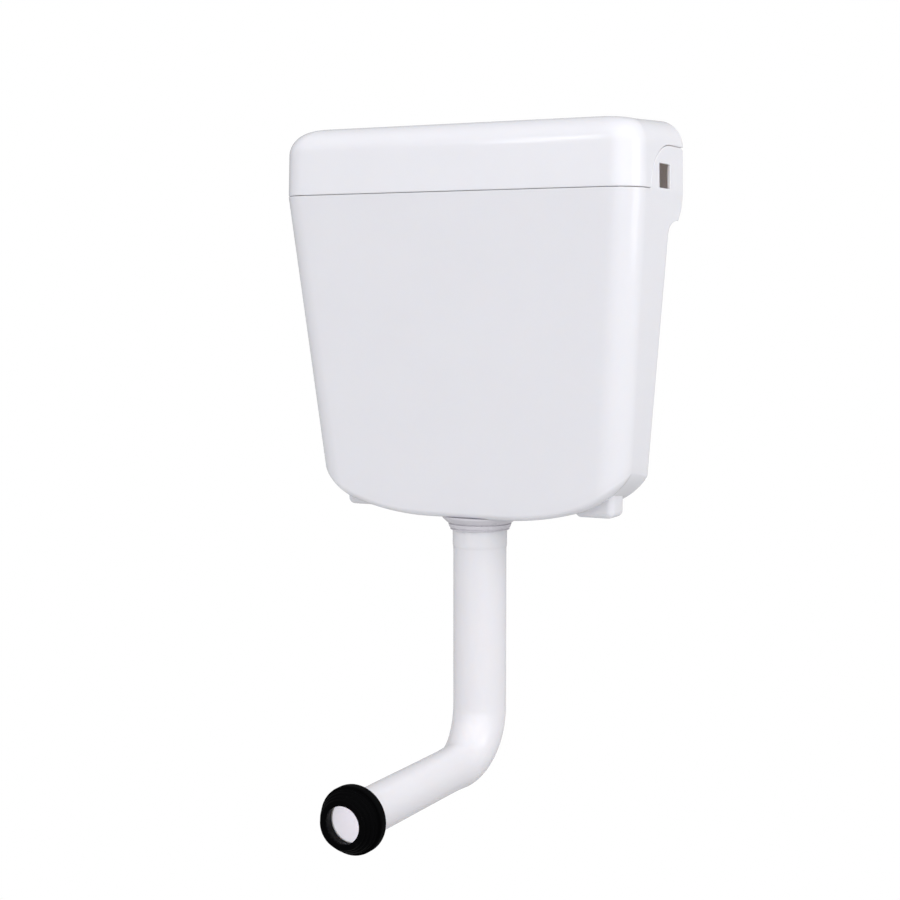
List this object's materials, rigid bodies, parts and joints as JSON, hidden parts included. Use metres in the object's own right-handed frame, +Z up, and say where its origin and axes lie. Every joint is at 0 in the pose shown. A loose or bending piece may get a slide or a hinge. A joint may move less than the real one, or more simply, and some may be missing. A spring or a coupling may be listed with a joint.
{
  "type": "wall-hung flushing cistern",
  "caption": "Slim wall-hung toilet cistern with lift-off lid, push-button flush valve, float fill valve, nut-fixed flush bend and rubber pan connector.",
  "frame": {"origin": "on the wall plane, midway between the two wall slots", "axes": "+X to the viewer's right, +Y into the wall, +Z up"},
  "size_m": [0.3596, 0.3105, 0.622],
  "materials": {
    "white_gloss": "moulded gloss",
    "inner_plastic": "moulded satin",
    "inner_blue": "moulded satin",
    "seal_rubber": "smooth matte",
    "connector_rubber": "moulded matte",
    "steel": "drawn wire"
  },
  "bodies": {
    "cistern": {"tank": "white_gloss", "side_plug": "white_gloss", "valve_base": "inner_plastic", "base_gasket": "seal_rubber", "outlet_nut": "white_gloss", "tail_ring": "seal_rubber", "valve_tower": "inner_plastic", "rocker_pin": "steel", "inlet_bracket": "inner_plastic", "fill_body": "inner_plastic", "inlet_washer": "seal_rubber", "inlet_locknut": "inner_plastic", "fill_diaphragm": "seal_rubber", "fill_cap": "inner_blue", "riser_tube": "inner_plastic", "arm_pin": "steel", "flush_pipe": "white_gloss", "pan_connector": "connector_rubber"},
    "lid": {"lid": "white_gloss", "button_bezel": "white_gloss", "bezel_nut": "inner_plastic"},
    "button": {"flush_button": "white_gloss", "push_rod": "inner_plastic", "button_spring": "steel"},
    "rocker": {"rocker": "inner_blue"},
    "flush_tube": {"overflow_tube": "inner_blue", "seat_seal": "seal_rubber", "valve_float": "inner_plastic", "lift_link": "inner_plastic"},
    "float": {"float_cup": "inner_blue", "float_rod": "steel"},
    "float_arm": {"float_arm": "inner_blue"}
  },
  "joints": [
    {"name": "lid_lift", "type": "slide", "parent": "cistern", "child": "lid", "axis": [0, 0, 1], "range_m": [0, 0.15]},
    {"name": "button_press", "type": "slide", "parent": "lid", "child": "button", "axis": [0, 0, -1], "range_m": [0, 0.008], "stiffness_N_per_m": 500, "springref_m": -0.012, "deforming": ["button_spring"]},
    {"name": "rocker_turn", "type": "hinge", "parent": "cistern", "child": "rocker", "pos_m": [0.016, -0.053, -0.044], "axis": [0, -1, 0], "range_deg": [0, 28.7]},
    {"name": "tube_lift", "type": "slide", "parent": "cistern", "child": "flush_tube", "axis": [0, 0, 1], "range_m": [0, 0.0101]},
    {"name": "float_rise", "type": "slide", "parent": "cistern", "child": "float", "axis": [0, 0, 1], "range_m": [0, 0.014]},
    {"name": "float_arm_turn", "type": "hinge", "parent": "cistern", "child": "float_arm", "pos_m": [0.086, -0.0475, 0.01487], "axis": [-1, 0, 0], "range_deg": [0, 50.3]}
  ],
  "couplings": [
    {"joint": "rocker_turn", "follows": "button_press", "rad_per_m": 62.5},
    {"joint": "tube_lift", "follows": "button_press", "ratio": 1.25},
    {"joint": "float_arm_turn", "follows": "float_rise", "rad_per_m": 62.5}
  ]
}
